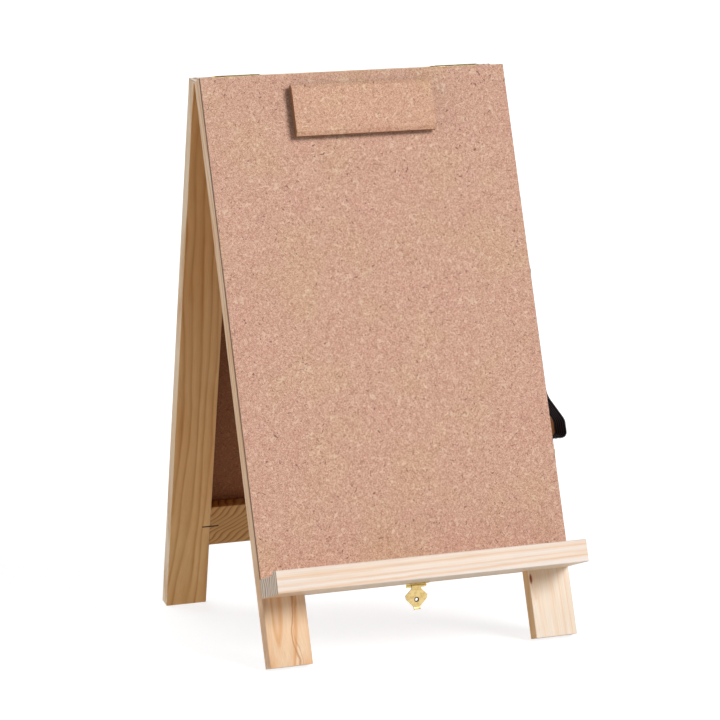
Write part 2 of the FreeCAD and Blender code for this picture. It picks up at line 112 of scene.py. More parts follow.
def vector_node(tree, operation, first, second=(0, 0, 0)):
    """The vector result of a sum on two vectors."""
    node = tree.nodes.new("ShaderNodeVectorMath")
    node.operation = operation
    feed(tree, node.inputs[0], first)
    feed(tree, node.inputs[1], second)
    return node.outputs["Value"] if operation in ("LENGTH", "DOT_PRODUCT") else node.outputs["Vector"]


def mix_colour(tree, amount, first, second, blend="MIX"):
    """Two colours mixed by an amount."""
    node = tree.nodes.new("ShaderNodeMix")
    node.data_type = "RGBA"
    node.blend_type = blend
    feed(tree, node.inputs[0], amount)
    feed(tree, node.inputs[6], first)
    feed(tree, node.inputs[7], second)
    return node.outputs[2]


def span(tree, value, low, high, to_low=0.0, to_high=1.0):
    """A value carried from one range to another, and held within it."""
    node = tree.nodes.new("ShaderNodeMapRange")
    feed(tree, node.inputs["Value"], value)
    node.inputs["From Min"].default_value = low
    node.inputs["From Max"].default_value = high
    node.inputs["To Min"].default_value = to_low
    node.inputs["To Max"].default_value = to_high
    return node.outputs[0]


def noise(tree, vector, scale, detail=2.0, roughness=0.5, distortion=0.0):
    """A noise texture's value, from 0 to 1."""
    node = tree.nodes.new("ShaderNodeTexNoise")
    feed(tree, node.inputs["Vector"], vector)
    node.inputs["Scale"].default_value = scale
    node.inputs["Detail"].default_value = detail
    node.inputs["Roughness"].default_value = roughness
    node.inputs["Distortion"].default_value = distortion
    return node.outputs[0]


def cells(tree, vector, scale):
    """The distance to the nearest of some scattered points."""
    node = tree.nodes.new("ShaderNodeTexVoronoi")
    feed(tree, node.inputs["Vector"], vector)
    node.inputs["Scale"].default_value = scale
    return node.outputs["Distance"]


def scaled(tree, vector, sizes, turn=(0, 0, 0), shift=(0, 0, 0)):
    """Coordinates moved, turned and stretched."""
    node = tree.nodes.new("ShaderNodeMapping")
    node.vector_type = "POINT"
    feed(tree, node.inputs["Vector"], vector)
    node.inputs["Location"].default_value = shift
    node.inputs["Rotation"].default_value = turn
    node.inputs["Scale"].default_value = sizes
    return node.outputs[0]


def ramp(tree, value, stops):
    """A colour picked along a ramp of (place, colour) stops."""
    node = tree.nodes.new("ShaderNodeValToRGB")
    feed(tree, node.inputs[0], value)
    elements = node.color_ramp.elements
    while len(elements) < len(stops):
        elements.new(0.5)
    for element, (place, colour) in zip(elements, stops):
        element.position = place
        element.color = (*colour, 1.0)
    return node.outputs[0]


def bump(tree, shader, height, strength, distance):
    """Relief on the shader's normal."""
    node = tree.nodes.new("ShaderNodeBump")
    node.inputs["Strength"].default_value = strength
    node.inputs["Distance"].default_value = distance
    feed(tree, node.inputs["Height"], height)
    link(tree, node.outputs[0], shader.inputs["Normal"])


def leaf_coordinates(tree, leaf):
    """Coordinates in metres on a leaf, X across, Y through it and Z up, and the normal turned alike."""
    source = tree.nodes.new("ShaderNodeTexCoord")
    turn = (-leaf * HALF_SPREAD, 0, 0)
    lifted = vector_node(tree, "SUBTRACT", source.outputs["Object"], (0, 0, PIN_LEVEL))
    upright = scaled(tree, lifted, (1, 1, 1), turn)
    normal = scaled(tree, source.outputs["Normal"], (1, 1, 1), turn)
    return upright, normal


def tinted(tree, mask, colour, tint):
    """A colour multiplied by a tint where the mask is 1."""
    return mix_colour(tree, mask, colour, mix_colour(tree, 1.0, colour, (*tint, 1), "MULTIPLY"))


def linear(red, green, blue):
    """A screen colour from 0 to 255 as the linear colour that the shader takes."""
    values = []
    for channel in (red, green, blue):
        share = channel / 255
        values.append(share / 12.92 if share <= 0.04045 else ((share + 0.055) / 1.055) ** 2.4)
    return tuple(values)


# ---------------------------------------------------------------- materials

VEIN_WAVE = 0.0518
VEIN_TURNS = 2 * math.pi / VEIN_WAVE


def bend_round_knots(tree, upright, bent, knots):
    """The wood's coordinates bulged round its knots, and a mask of the knots, or None without any."""
    mask = None
    for across, down, radius in knots:
        away = vector_node(tree, "SUBTRACT", upright, (across, 0, -down - AXIS_HEIGHT))
        flat = vector_node(tree, "MULTIPLY", away, (2.1, 0.0, 0.6))
        distance = vector_node(tree, "LENGTH", flat)
        offset = tree.nodes.new("ShaderNodeCombineXYZ")
        link(tree, span(tree, distance, radius * 0.6, radius * 5.0, 0.0045, 0.0), offset.inputs[1])
        bent = vector_node(tree, "ADD", bent, offset.outputs[0])
        here = span(tree, distance, radius * 0.55, radius * 1.1, 1.0, 0.0)
        mask = here if mask is None else math_node(tree, "MAXIMUM", mask, here)
    return bent, mask


def ring_years(tree, bent, along, pith, spacing):
    """How far each place in the wood is through its own year's ring, from 0 to 1."""
    heart = [0.0, 0.0, 0.0]
    others = [axis for axis in (0, 1, 2) if axis != along]
    heart[others[0]], heart[others[1]] = pith
    flatten = [1.0, 1.0, 1.0]
    flatten[along] = 0.025
    from_heart = vector_node(tree, "SUBTRACT", bent, tuple(heart))
    radial = vector_node(tree, "MULTIPLY", from_heart, tuple(flatten))
    rings = math_node(tree, "DIVIDE", vector_node(tree, "LENGTH", radial), spacing)
    uneven = math_node(tree, "MULTIPLY", noise(tree, radial, 70.0, 1.0), 2.2)
    return math_node(tree, "FRACT", math_node(tree, "ADD", rings, uneven))


def ring_colour(tree, year, pale, deep, contrast):
    """Pale early wood that deepens to late wood at the ring's edge; less contrast leaves a calmer mean."""
    halfway = tuple(0.6 * a + 0.4 * b for a, b in zip(pale, deep))
    banded = ramp(tree, year, [
        (0.0, deep),
        (0.16, pale),
        (0.45, pale),
        (0.75, halfway),
        (0.94, deep),
        (1.0, deep),
    ])
    calm = tuple(0.7 * a + 0.3 * b for a, b in zip(pale, deep))
    return mix_colour(tree, contrast, (*calm, 1), banded)


def add_veins(tree, colour, coordinates, along, veins, vein_colour):
    """Lines of another colour along a bar, from (place, slope, width, strength, sway) rows."""
    beside = 2 if along == 0 else 0
    split = tree.nodes.new("ShaderNodeSeparateXYZ")
    link(tree, coordinates, split.inputs[0])
    for place, slope, width, strength, sway in veins:
        line = math_node(tree, "MULTIPLY", split.outputs[along], slope)
        if sway:
            turning = math_node(tree, "SINE", math_node(tree, "MULTIPLY", split.outputs[along], VEIN_TURNS))
            line = math_node(tree, "ADD", line, math_node(tree, "MULTIPLY", turning, sway))
        gap = math_node(tree, "SUBTRACT", split.outputs[beside], math_node(tree, "ADD", line, place))
        near = span(tree, math_node(tree, "ABSOLUTE", gap), 0.0, width, 1.0, 0.0)
        near = math_node(tree, "MULTIPLY", math_node(tree, "POWER", near, 1.5), strength)
        colour = mix_colour(tree, near, colour, (*linear(*vein_colour), 1))
    return colour


def add_grain(tree, colour, fine, bent, along, deep):
    """Fine threads and resin ducts over the rings."""
    threads = ramp(tree, fine, [(0.3, (0.72, 0.68, 0.62)), (0.62, (1, 1, 1))])
    colour = mix_colour(tree, 0.35, colour, threads, "MULTIPLY")
    moved = vector_node(tree, "ADD", bent, (3, 5, 7))
    ducts = noise(tree, stretched(tree, moved, along, 520.0, 9.0), 1.0, 2.0, 0.5)
    resin = tuple(channel * 0.8 for channel in deep)
    return mix_colour(tree, span(tree, ducts, 0.70, 0.78, 0.0, 0.5), colour, (*resin, 1))


def add_patches(tree, colour, coordinates, along, strength):
    """Warm patches, longer along the bar than across it."""
    patches = noise(tree, stretched(tree, coordinates, along, 34.0, 12.0), 1.0, 3.0, 0.6)
    patchy = ramp(tree, patches, [(0.34, (0.92, 0.80, 0.64)), (0.6, (1, 1, 1))])
    return mix_colour(tree, strength, colour, patchy, "MULTIPLY")


def end_grain(tree, upright, year):
    """Sawn end grain: the rings cut across, with open pores."""
    dark = linear(168, 142, 122)
    pale = linear(232, 216, 198)
    colour = ramp(tree, year, [(0.0, dark), (0.2, pale), (0.55, pale), (0.9, dark)])
    pores = noise(tree, upright, 2600.0, 2.0, 0.7)
    pored = ramp(tree, pores, [(0.35, (0.6, 0.55, 0.5)), (0.6, (1, 1, 1))])
    return mix_colour(tree, 0.3, colour, pored, "MULTIPLY")


def pine(name, leaf, along, pith, early, late, spacing, waviness, depth, seed, inside, toward=(0, 0),
         knots=(), veins=(), vein_colour=(190, 134, 86), tilt=0.0, blotches=0.6):
    """Sawn pine: growth rings about a pith, cut by the bar's faces.

    along is the bar's axis, 0 across or 2 up the leaf, and pith is the heart's place in the other two
    directions. early and late are the two colours of a ring, spacing is its width and depth how strongly
    it shows. The inside tint is painted shade: it darkens and warms the face that looks into the easel,
    and with it the side that looks toward (across, up) where that is given. knots are (across, down,
    radius) on the leaf. veins are (place, slope, width, strength, sway): lines near that place beside the
    axis, in vein_colour. tilt turns the grain in the leaf's face, and blotches is the strength of the warm
    patches.
    """
    material, tree, shader = new_material(name)
    upright, normal = leaf_coordinates(tree, leaf)
    shifted = vector_node(tree, "ADD", upright, (seed * 0.37, seed * 0.21, seed * 0.53))
    sway = wander(tree, shifted, along, (6.0, 1.8), 0.045 * waviness)
    ripple = wander(tree, shifted, along, (55.0, 11.0), 0.0042 * waviness)
    bent = vector_node(tree, "ADD", vector_node(tree, "ADD", upright, sway), ripple)
    if tilt:
        bent = scaled(tree, bent, (1, 1, 1), (0, tilt, 0))
    bent, knot = bend_round_knots(tree, upright, bent, knots)

    year = ring_years(tree, bent, along, pith, spacing)
    deep = linear(*late)
    fading = noise(tree, stretched(tree, shifted, along, 80.0, 7.0), 1.0, 2.0)
    contrast = span(tree, fading, 0.34, 0.6, depth * 0.35, depth)
    colour = ring_colour(tree, year, linear(*early), deep, contrast)
    uneven = wander(tree, shifted, along, (120.0, 70.0), 0.003 * waviness)
    colour = add_veins(tree, colour, vector_node(tree, "ADD", upright, uneven), along, veins, vein_colour)
    fine = noise(tree, stretched(tree, bent, along, 1500.0, 22.0), 1.0, 3.0, 0.6)
    colour = add_grain(tree, colour, fine, bent, along, deep)
    colour = add_patches(tree, colour, shifted, along, blotches)
    if knot is not None:
        colour = mix_colour(tree, knot, colour, (*linear(150, 74, 44), 1))

    # Painted shade: the inside tint darkens and warms the faces that look into the easel, and the side toward.
    inward = vector_node(tree, "DOT_PRODUCT", normal, (toward[0], -leaf, toward[1]))
    colour = tinted(tree, span(tree, inward, 0.4, 0.7), colour, inside)
    axis = [0.0, 0.0, 0.0]
    axis[along] = 1.0
    facing = math_node(tree, "ABSOLUTE", vector_node(tree, "DOT_PRODUCT", normal, tuple(axis)))
    colour = mix_colour(tree, span(tree, facing, 0.72, 0.9), colour, end_grain(tree, upright, year))
    link(tree, colour, shader.inputs["Base Color"])

    threads_relief = math_node(tree, "MULTIPLY", fine, 0.6)
    rings_relief = math_node(tree, "MULTIPLY", year, 0.4)
    bump(tree, shader, math_node(tree, "ADD", threads_relief, rings_relief), 0.25, 0.00025)
    link(tree, span(tree, year, 0.0, 1.0, 0.62, 0.5), shader.inputs["Roughness"])
    shader.inputs["Specular IOR Level"].default_value = 0.28
    return material


def stretched(tree, vector, along, across_scale, along_scale):
    """Coordinates scaled one way along a bar and another across it."""
    sizes = [across_scale] * 3
    sizes[along] = along_scale
    return scaled(tree, vector, sizes)


def wander(tree, vector, along, scales, reach):
    """A smooth offset in every direction, up to half this reach, slower along the bar than across it."""
    node = tree.nodes.new("ShaderNodeTexNoise")
    feed(tree, node.inputs["Vector"], stretched(tree, vector, along, *scales))
    node.inputs["Scale"].default_value = 1.0
    node.inputs["Detail"].default_value = 1.5
    centred = vector_node(tree, "SUBTRACT", node.outputs["Color"], (0.5, 0.5, 0.5))
    return vector_node(tree, "MULTIPLY", centred, (reach, reach, reach))


def fibreboard(name, leaf, shade=(1, 1, 1), inside=(1, 1, 1), ends=(1, 1, 1)):
    """Pressed fibre panel: a pink-brown face of matted fibres and dark specks, and darker sawn edges.

    shade tints the whole piece, inside the face that looks into the easel and ends the sawn edges.
    A darkening inside tint is painted shade, for the rear panel together with its own brown back, and an
    ends tint that lightens the sawn edges is painted light.
    """
    material, tree, shader = new_material(name)
    upright, normal = leaf_coordinates(tree, leaf)
    clouds = noise(tree, upright, 22.0, 3.0, 0.55)
    mottle = noise(tree, upright, 640.0, 2.0, 0.6, 0.4)
    grit = noise(tree, scaled(tree, upright, (1.0, 1.0, 1.0), (0, 0.6, 0)), 1350.0, 2.0, 0.8, 0.5)
    base = ramp(tree, mottle, [
        (0.28, linear(194, 150, 128)),
        (0.45, linear(207, 164, 142)),
        (0.55, linear(212, 171, 150)),
        (0.72, linear(225, 185, 165)),
    ])
    gritty = ramp(tree, grit, [
        (0.28, (0.40, 0.16, 0.10)),
        (0.42, (0.83, 0.73, 0.68)),
        (0.56, (1.06, 1.09, 1.10)),
        (0.74, (1.44, 1.74, 1.80)),
    ])
    cloudy = ramp(tree, clouds, [
        (0.34, (1.0, 0.97, 0.99)),
        (0.5, (1.0, 1.0, 1.0)),
        (0.66, (0.99, 1.02, 0.93)),
    ])
    colour = mix_colour(tree, 0.78, base, gritty, "MULTIPLY")
    colour = mix_colour(tree, 0.9, colour, cloudy, "MULTIPLY")

    pale = curls(tree, upright, 170.0, 0.07, 1.0)
    dark = curls(tree, upright, 150.0, 0.06, 5.0)
    flecks = fibres(tree, upright, (0.35, 1.2, 2.3), (300.0, 760.0), 0.728, 0.765, 11.0)
    marks = [
        (pale, 0.55, linear(238, 214, 188)),
        (dark, 0.4, linear(160, 108, 86)),
        (flecks, 0.8, linear(112, 66, 52)),
    ]
    for mask, strength, mark_colour in marks:
        colour = mix_colour(tree, math_node(tree, "MULTIPLY", mask, strength), colour, (*mark_colour, 1))
    colour = mix_colour(tree, 1.0, colour, (*shade, 1), "MULTIPLY")
    # Painted shade: the inside tint darkens the face that looks into the easel.
    inward = vector_node(tree, "DOT_PRODUCT", normal, (0, -leaf, 0))
    colour = tinted(tree, span(tree, inward, 0.3, 0.6), colour, inside)

    outward = math_node(tree, "ABSOLUTE", vector_node(tree, "DOT_PRODUCT", normal, (0, 1, 0)))
    sawn = span(tree, outward, 0.25, 0.5, 1.0, 0.0)
    layers = noise(tree, scaled(tree, upright, (140, 2600, 140)), 1.0, 2.0)
    brown = ramp(tree, layers, [(0.3, linear(104, 72, 50)), (0.7, linear(146, 108, 78))])
    # An ends tint above 1 lightens the sawn edges: painted light.
    brown = mix_colour(tree, 1.0, brown, (*ends, 1), "MULTIPLY")
    link(tree, mix_colour(tree, sawn, colour, brown), shader.inputs["Base Color"])

    grit_relief = math_node(tree, "MULTIPLY", grit, 0.5)
    curl_relief = math_node(tree, "MULTIPLY", pale, 0.35)
    bump(tree, shader, math_node(tree, "ADD", grit_relief, curl_relief), 0.15, 0.0002)
    link(tree, span(tree, mottle, 0.3, 0.7, 0.66, 0.54), shader.inputs["Roughness"])
    shader.inputs["Specular IOR Level"].default_value = 0.25
    return material


def curls(tree, upright, scale, width, shift):
    """A mask of short curled fibres: thin lines where a noise crosses its middle, kept here and there."""
    moved = vector_node(tree, "ADD", upright, (shift, shift * 0.7, shift * 1.3))
    crossing = math_node(tree, "SUBTRACT", noise(tree, moved, scale, 1.0, 0.5, 0.6), 0.5)
    line = span(tree, math_node(tree, "ABSOLUTE", crossing), 0.0, width, 1.0, 0.0)
    kept = span(tree, noise(tree, moved, scale * 1.5, 1.0), 0.56, 0.62)
    return math_node(tree, "MULTIPLY", line, kept)


def fibres(tree, upright, angles, sizes, low, high, shift):
    """A mask of short fibres at these angles in a leaf's face. sizes are along and across, per metre."""
    found = None
    along, across = sizes
    for index, angle in enumerate(angles):
        turned = scaled(tree, upright, (1, 1, 1), (0, angle, 0))
        place = (index * 3.1 + shift, shift, index * 7.7 - shift)
        drawn_out = scaled(tree, turned, (along, along, across), (0, 0, 0), place)
        here = span(tree, noise(tree, drawn_out, 1.0, 1.0, 0.4, 0.7), low, high)
        found = here if found is None else math_node(tree, "MAXIMUM", found, here)
    return found


def metal(name, colour, dark, roughness, flat_side=None):
    """Plated metal: fine scratches, a little tarnish and smudged gloss.

    flat_side is the direction that a stamped plate's faces look in: its cut edges are darker.
    """
    material, tree, shader = new_material(name)
    coordinates = tree.nodes.new("ShaderNodeTexCoord")
    source = coordinates.outputs["Object"]
    tarnish = noise(tree, source, 420.0, 4.0, 0.65)
    base = mix_colour(tree, span(tree, tarnish, 0.48, 0.74, 0.0, 0.75), (*colour, 1), (*dark, 1))
    if flat_side is not None:
        across = vector_node(tree, "DOT_PRODUCT", coordinates.outputs["Normal"], flat_side)
        cut = span(tree, math_node(tree, "ABSOLUTE", across), 0.45, 0.8, 1.0, 0.0)
        base = mix_colour(tree, cut, base, (*(channel * 0.3 for channel in dark), 1))
    link(tree, base, shader.inputs["Base Color"])
    scratches = noise(tree, scaled(tree, source, (1980, 162, 450), (0.3, 0.2, 0.6)), 1.0, 2.0)
    smudge = noise(tree, source, 130.0, 2.0)
    smudged = span(tree, smudge, 0.3, 0.7, roughness * 0.75, roughness * 1.3)
    rough = math_node(tree, "ADD", smudged, math_node(tree, "MULTIPLY", scratches, 0.08))
    link(tree, rough, shader.inputs["Roughness"])
    shader.inputs["Metallic"].default_value = 1.0
    bump(tree, shader, scratches, 0.08, 0.0001)
    return material


def webbing_material():
    """Black ribbed webbing, woven across its ribs. It reads the strap's length and width from its UVs."""
    material, tree, shader = new_material("webbing_weave")
    strip = tree.nodes.new("ShaderNodeTexCoord").outputs["UV"]
    picks = tree.nodes.new("ShaderNodeTexWave")
    picks.bands_direction = "X"
    link(tree, strip, picks.inputs["Vector"])
    picks.inputs["Scale"].default_value = 260.0
    picks.inputs["Distortion"].default_value = 1.2
    picks.inputs["Detail"].default_value = 1.0
    fuzz = noise(tree, scaled(tree, strip, (1500, 1500, 1)), 1.0, 2.0)
    colour = ramp(tree, fuzz, [(0.3, linear(4, 2, 3)), (0.7, linear(20, 14, 18))])
    colour = mix_colour(tree, 0.35, colour, picks.outputs["Color"], "MULTIPLY")
    split = tree.nodes.new("ShaderNodeSeparateXYZ")
    link(tree, strip, split.inputs[0])
    turns = math_node(tree, "MULTIPLY", split.outputs[1], 2 * math.pi * RIBS / WEBBING_WIDTH)
    # Painted highlight: the rib crests are lightened towards purple-grey.
    crest_highlight = span(tree, math_node(tree, "COSINE", turns), 0.2, -1.0, 0.0, 0.55)
    colour = mix_colour(tree, crest_highlight, colour, (*linear(90, 68, 94), 1))
    link(tree, colour, shader.inputs["Base Color"])
    picks_relief = math_node(tree, "MULTIPLY", picks.outputs["Fac"], 0.7)
    fuzz_relief = math_node(tree, "MULTIPLY", fuzz, 0.3)
    bump(tree, shader, math_node(tree, "ADD", picks_relief, fuzz_relief), 0.5, 0.0003)
    shader.inputs["Roughness"].default_value = 0.7
    shader.inputs["Specular IOR Level"].default_value = 0.12
    return material


def leather_material():
    """Tan leather: pebbled grain, darker creases and rubbed high spots."""
    material, tree, shader = new_material("tan_leather")
    source = tree.nodes.new("ShaderNodeTexCoord").outputs["Object"]
    pebbles = cells(tree, source, 950.0)
    folds = noise(tree, source, 190.0, 4.0, 0.6, 0.6)
    colour = ramp(tree, folds, [
        (0.25, linear(158, 98, 42)),
        (0.55, linear(206, 138, 66)),
        (0.8, linear(230, 172, 98)),
    ])
    pebbled = ramp(tree, pebbles, [(0.1, (1, 1, 1)), (0.6, (0.78, 0.72, 0.66))])
    colour = mix_colour(tree, 0.5, colour, pebbled, "MULTIPLY")
    link(tree, colour, shader.inputs["Base Color"])
    folds_relief = math_node(tree, "MULTIPLY", folds, 0.5)
    pebbles_relief = math_node(tree, "MULTIPLY", pebbles, 0.6)
    bump(tree, shader, math_node(tree, "SUBTRACT", folds_relief, pebbles_relief), 0.4, 0.0003)
    link(tree, span(tree, folds, 0.3, 0.8, 0.6, 0.42), shader.inputs["Roughness"])
    return material


def edge_paint_material():
    """Black paint on the cut edge of the leather, thick and slightly rippled."""
    material, tree, shader = new_material("black_edge_paint")
    source = tree.nodes.new("ShaderNodeTexCoord").outputs["Object"]
    ripples = noise(tree, source, 700.0, 3.0, 0.6)
    colour = ramp(tree, ripples, [(0.3, linear(12, 8, 8)), (0.7, linear(34, 26, 24))])
    link(tree, colour, shader.inputs["Base Color"])
    bump(tree, shader, ripples, 0.3, 0.0002)
    link(tree, span(tree, ripples, 0.3, 0.7, 0.4, 0.55), shader.inputs["Roughness"])
    return material


def thread_material():
    """Waxed thread with a visible twist."""
    material, tree, shader = new_material("waxed_thread")
    source = tree.nodes.new("ShaderNodeTexCoord").outputs["Object"]
    twist = noise(tree, scaled(tree, source, (5200, 5200, 1300), (0.6, 0.2, 0)), 1.0, 1.0)
    colour = ramp(tree, twist, [(0.3, linear(150, 118, 74)), (0.7, linear(214, 184, 132))])
    link(tree, colour, shader.inputs["Base Color"])
    bump(tree, shader, twist, 0.5, 0.0002)
    shader.inputs["Roughness"].default_value = 0.55
    return material


def ferrite_material():
    """Matt black ceramic."""
    material, tree, shader = new_material("ferrite_black")
    source = tree.nodes.new("ShaderNodeTexCoord").outputs["Object"]
    grain = noise(tree, source, 1400.0, 3.0, 0.7)
    colour = ramp(tree, grain, [(0.3, linear(26, 25, 25)), (0.7, linear(58, 56, 55))])
    link(tree, colour, shader.inputs["Base Color"])
    bump(tree, shader, grain, 0.3, 0.0002)
    shader.inputs["Roughness"].default_value = 0.75
    return material


# ---------------------------------------------------------------- CAD nodes

# Painted shade: tints that darken and warm the pine faces in shade (into the easel, rail top, tray underside).
SHADED = (1.0, 0.77, 0.46)
RAIL_SHADED = (0.76, 0.56, 0.29)
WARM_PAINTED_SHADE = (0.94, 0.72, 0.44)
MILD_PAINTED_SHADE = (0.98, 0.90, 0.76)
TRAY_PAINTED_SHADE = (1.0, 0.94, 0.83)
# Partly the rear panel's own brown back and partly painted shade on its inner face.
BROWN_BACK_AND_PAINTED_SHADE = (0.42, 0.23, 0.08)
# Painted shade: the clip block's back is near black to darken the gap behind it.
DARK_BACK_PAINTED_SHADE = (0.10, 0.07, 0.05)
ORANGE_VEIN = (240, 196, 150)
RAIL_TILT = 0.64


def dress(names, material):
    """Gives CAD nodes a material."""
    for name in names:
        piece = nodes[name]
        if not piece.material_slots:
            piece.data.materials.append(material)
        for slot in piece.material_slots:
            slot.material = material


def dress_wood():
    """Every pine piece is a different cut, so each has its own heart, rings and colours."""
    knot = (HALF_WIDTH - 0.0325, 0.4045, 0.0026)
    foot_veins = [
        (-0.1032, 0.0, 0.0012, 0.85, 0.0019),
        (-0.1008, 0.0, 0.0008, 0.5, 0.0016),
        (-0.1120, 0.03, 0.0030, 0.3, 0.0008),
    ]
    tray_veins = [
        (-0.3880, 0.010, 0.0024, 0.6, 0.0),
        (-0.3935, 0.014, 0.0018, 0.5, 0.0),
        (-0.3975, 0.018, 0.0022, 0.75, 0.0),
    ]
    # The inside and toward tints below are painted shade, not the wood's own colour.
    cuts = {
        "front_stile_left": dict(
            leaf=FRONT, along=2, pith=(-0.118, 0.034), early=(246, 220, 192), late=(228, 174, 122),
            spacing=0.0052, waviness=1.9, depth=0.9, seed=1.3, inside=MILD_PAINTED_SHADE,
            veins=foot_veins, blotches=1.0),
        "front_stile_right": dict(
            leaf=FRONT, along=2, pith=(0.19, 0.055), early=(247, 233, 218), late=(240, 214, 186),
            spacing=0.0058, waviness=0.8, depth=0.9, seed=4.1, inside=WARM_PAINTED_SHADE, toward=(-1, 0),
            knots=[knot]),
        "front_top_rail": dict(
            leaf=FRONT, along=0, pith=(0.03, -0.01), early=(244, 226, 204), late=(226, 188, 146),
            spacing=0.0042, waviness=1.0, depth=0.9, seed=2.2, inside=MILD_PAINTED_SHADE),
        "front_bottom_rail": dict(
            leaf=FRONT, along=0, pith=(0.06, -0.35), early=(244, 224, 198), late=(226, 186, 142),
            spacing=0.0038, waviness=1.1, depth=0.9, seed=3.4, inside=MILD_PAINTED_SHADE),
        "tray": dict(
            leaf=FRONT, along=0, pith=(0.20, -0.386), early=(252, 241, 234), late=(251, 232, 216),
            spacing=0.0042, waviness=0.3, depth=0.8, seed=5.7, inside=TRAY_PAINTED_SHADE, toward=(0, -1),
            veins=tray_veins, vein_colour=ORANGE_VEIN, blotches=0.3),
        "rear_stile_left": dict(
            leaf=REAR, along=2, pith=(-0.165, -0.02), early=(246, 226, 200), late=(214, 172, 124),
            spacing=0.0066, waviness=2.0, depth=0.9, seed=6.2, inside=SHADED),
        "rear_stile_right": dict(
            leaf=REAR, along=2, pith=(0.07, 0.04), early=(243, 222, 196), late=(220, 180, 136),
            spacing=0.0040, waviness=1.2, depth=0.9, seed=7.9, inside=MILD_PAINTED_SHADE),
        "rear_top_rail": dict(
            leaf=REAR, along=0, pith=(0.05, 0.01), early=(243, 222, 196), late=(222, 182, 138),
            spacing=0.0044, waviness=1.0, depth=0.9, seed=8.3, inside=MILD_PAINTED_SHADE),
        "rear_bottom_rail": dict(
            leaf=REAR, along=0, pith=(-0.02, -0.45), early=(240, 214, 180), late=(184, 130, 80),
            spacing=0.0037, waviness=2.2, depth=1.0, seed=9.6, inside=RAIL_SHADED, toward=(0, 1),
            tilt=RAIL_TILT),
    }
    for name, cut in cuts.items():
        dress([name], pine("pine_" + name, **cut))


def dress_boards():
    """Panels and the clip block."""
    dress(["front_board"], fibreboard("fibreboard_front", FRONT))
    # The rear panel's inner face: its own brown back together with painted shade.
    dress(["rear_board"], fibreboard(
        "fibreboard_rear", REAR, shade=(0.97, 0.96, 0.95), inside=BROWN_BACK_AND_PAINTED_SHADE))
    # The clip block's near-black back is painted shade and its lightened sawn ends are painted light.
    dress(["clip_block"], fibreboard(
        "fibreboard_clip", FRONT, shade=(1.05, 1.04, 0.98), inside=DARK_BACK_PAINTED_SHADE, ends=(1.25, 1.12, 1.0)))


def dress_metal():
    """Brass, steel and ferrite pieces."""
    brass = metal("brass_plate", linear(240, 218, 150), linear(176, 136, 70), 0.3)
    stamped = metal(
        "brass_stamped", linear(240, 214, 150), linear(186, 144, 74), 0.36, flat_side=(0, 1, 0))
    steel = metal("zinc_steel", linear(150, 146, 142), linear(70, 62, 56), 0.42)
    fastener = metal("staple_steel", linear(60, 50, 43), linear(28, 22, 18), 0.55)
    dress([
        "hinge_left_front_plate",
        "hinge_right_front_plate",
        "hinge_left_rear_plate",
        "hinge_right_rear_plate",
        "hinge_pins",
        "front_hinge_screws",
        "rear_hinge_screws",
        "clasp_plate",
        "clasp_pin",
        "clasp_screws",
        "catch_plate",
        "catch_screws",
        "handle_washers",
        "handle_screws",
    ], brass)
    dress(["clasp_flap"], stamped)
    dress(["tray_screws", "clip_discs"], steel)
    dress(["front_frame_staples", "rear_frame_staples"], fastener)
    dress(["clip_magnets"], ferrite_material())


# ---------------------------------------------------------------- finer pieces

def new_piece(mesh, name, materials, sharp=180):
    """Makes a smooth-shaded piece of this mesh, creased where its faces meet at more than sharp degrees."""
    data = bpy.data.meshes.new(name)
    mesh.to_mesh(data)
    mesh.free()
    for polygon in data.polygons:
        polygon.use_smooth = True
    for material in materials:
        data.materials.append(material)
    data.set_sharp_from_angle(angle=math.radians(sharp))
    piece = bpy.data.objects.new(name, data)
    bpy.context.scene.collection.objects.link(piece)
    return piece


SAME_PLACE = 2e-6
FLAT_BELOW = math.radians(0.5)
ARRIS_ABOVE = math.radians(20)


def eased(name, width, shortest):
    """A copy of a CAD piece's mesh with the arrises longer than shortest rounded to this width."""
    mesh = bmesh.new()
    mesh.from_mesh(nodes[name].data)
    bmesh.ops.remove_doubles(mesh, verts=mesh.verts, dist=SAME_PLACE)
    bmesh.ops.dissolve_limit(mesh, angle_limit=FLAT_BELOW, verts=mesh.verts, edges=mesh.edges)
    arrises = []
    for edge in mesh.edges:
        if edge.is_convex and edge.calc_length() > shortest and edge.calc_face_angle() > ARRIS_ABOVE:
            arrises.append(edge)
    bmesh.ops.bevel(
        mesh, geom=arrises, offset=width, segments=3, profile=0.5, affect="EDGES", clamp_overlap=True)
    return mesh


def stand_in(mesh, name, body, materials):
    """Makes a piece of this mesh that stands for a CAD node, with these materials."""
    piece = new_piece(mesh, name + "_eased", materials, sharp=32)
    even = piece.modifiers.new("even", "WEIGHTED_NORMAL")
    even.keep_sharp = True
    even.weight = 100
    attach(piece, body)
    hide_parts(name)


def add_rolled_rim(mesh, centre):
    """A rolled rim about the flap's hole, turned from half of its (radius, forward) section in mm."""
    half = [(1.25, 0.50), (1.38, 0.60), (1.82, 0.60), (1.95, 0.50), (1.95, 0.40), (1.70, 0.40)]
    section = [(radius, -forward) for radius, forward in half] + half[::-1]
    steps = 36
    rings = []
    for step in range(steps):
        angle = 2 * math.pi * step / steps
        ring = []
        for radius, forward in section:
            offset = Vector((math.cos(angle) * radius, forward, math.sin(angle) * radius)) / 1000
            ring.append(mesh.verts.new(centre + offset))
        rings.append(ring)
    faces = []
    for step, ring in enumerate(rings):
        after = rings[(step + 1) % steps]
        for corner in range(len(section)):
            following = (corner + 1) % len(section)
            faces.append(mesh.faces.new((ring[corner], ring[following], after[following], after[corner])))
    # Painted shade: the rim takes the flap's second, dark material.
    for face in faces:
        face.material_index = 1
    bmesh.ops.recalc_face_normals(mesh, faces=faces)


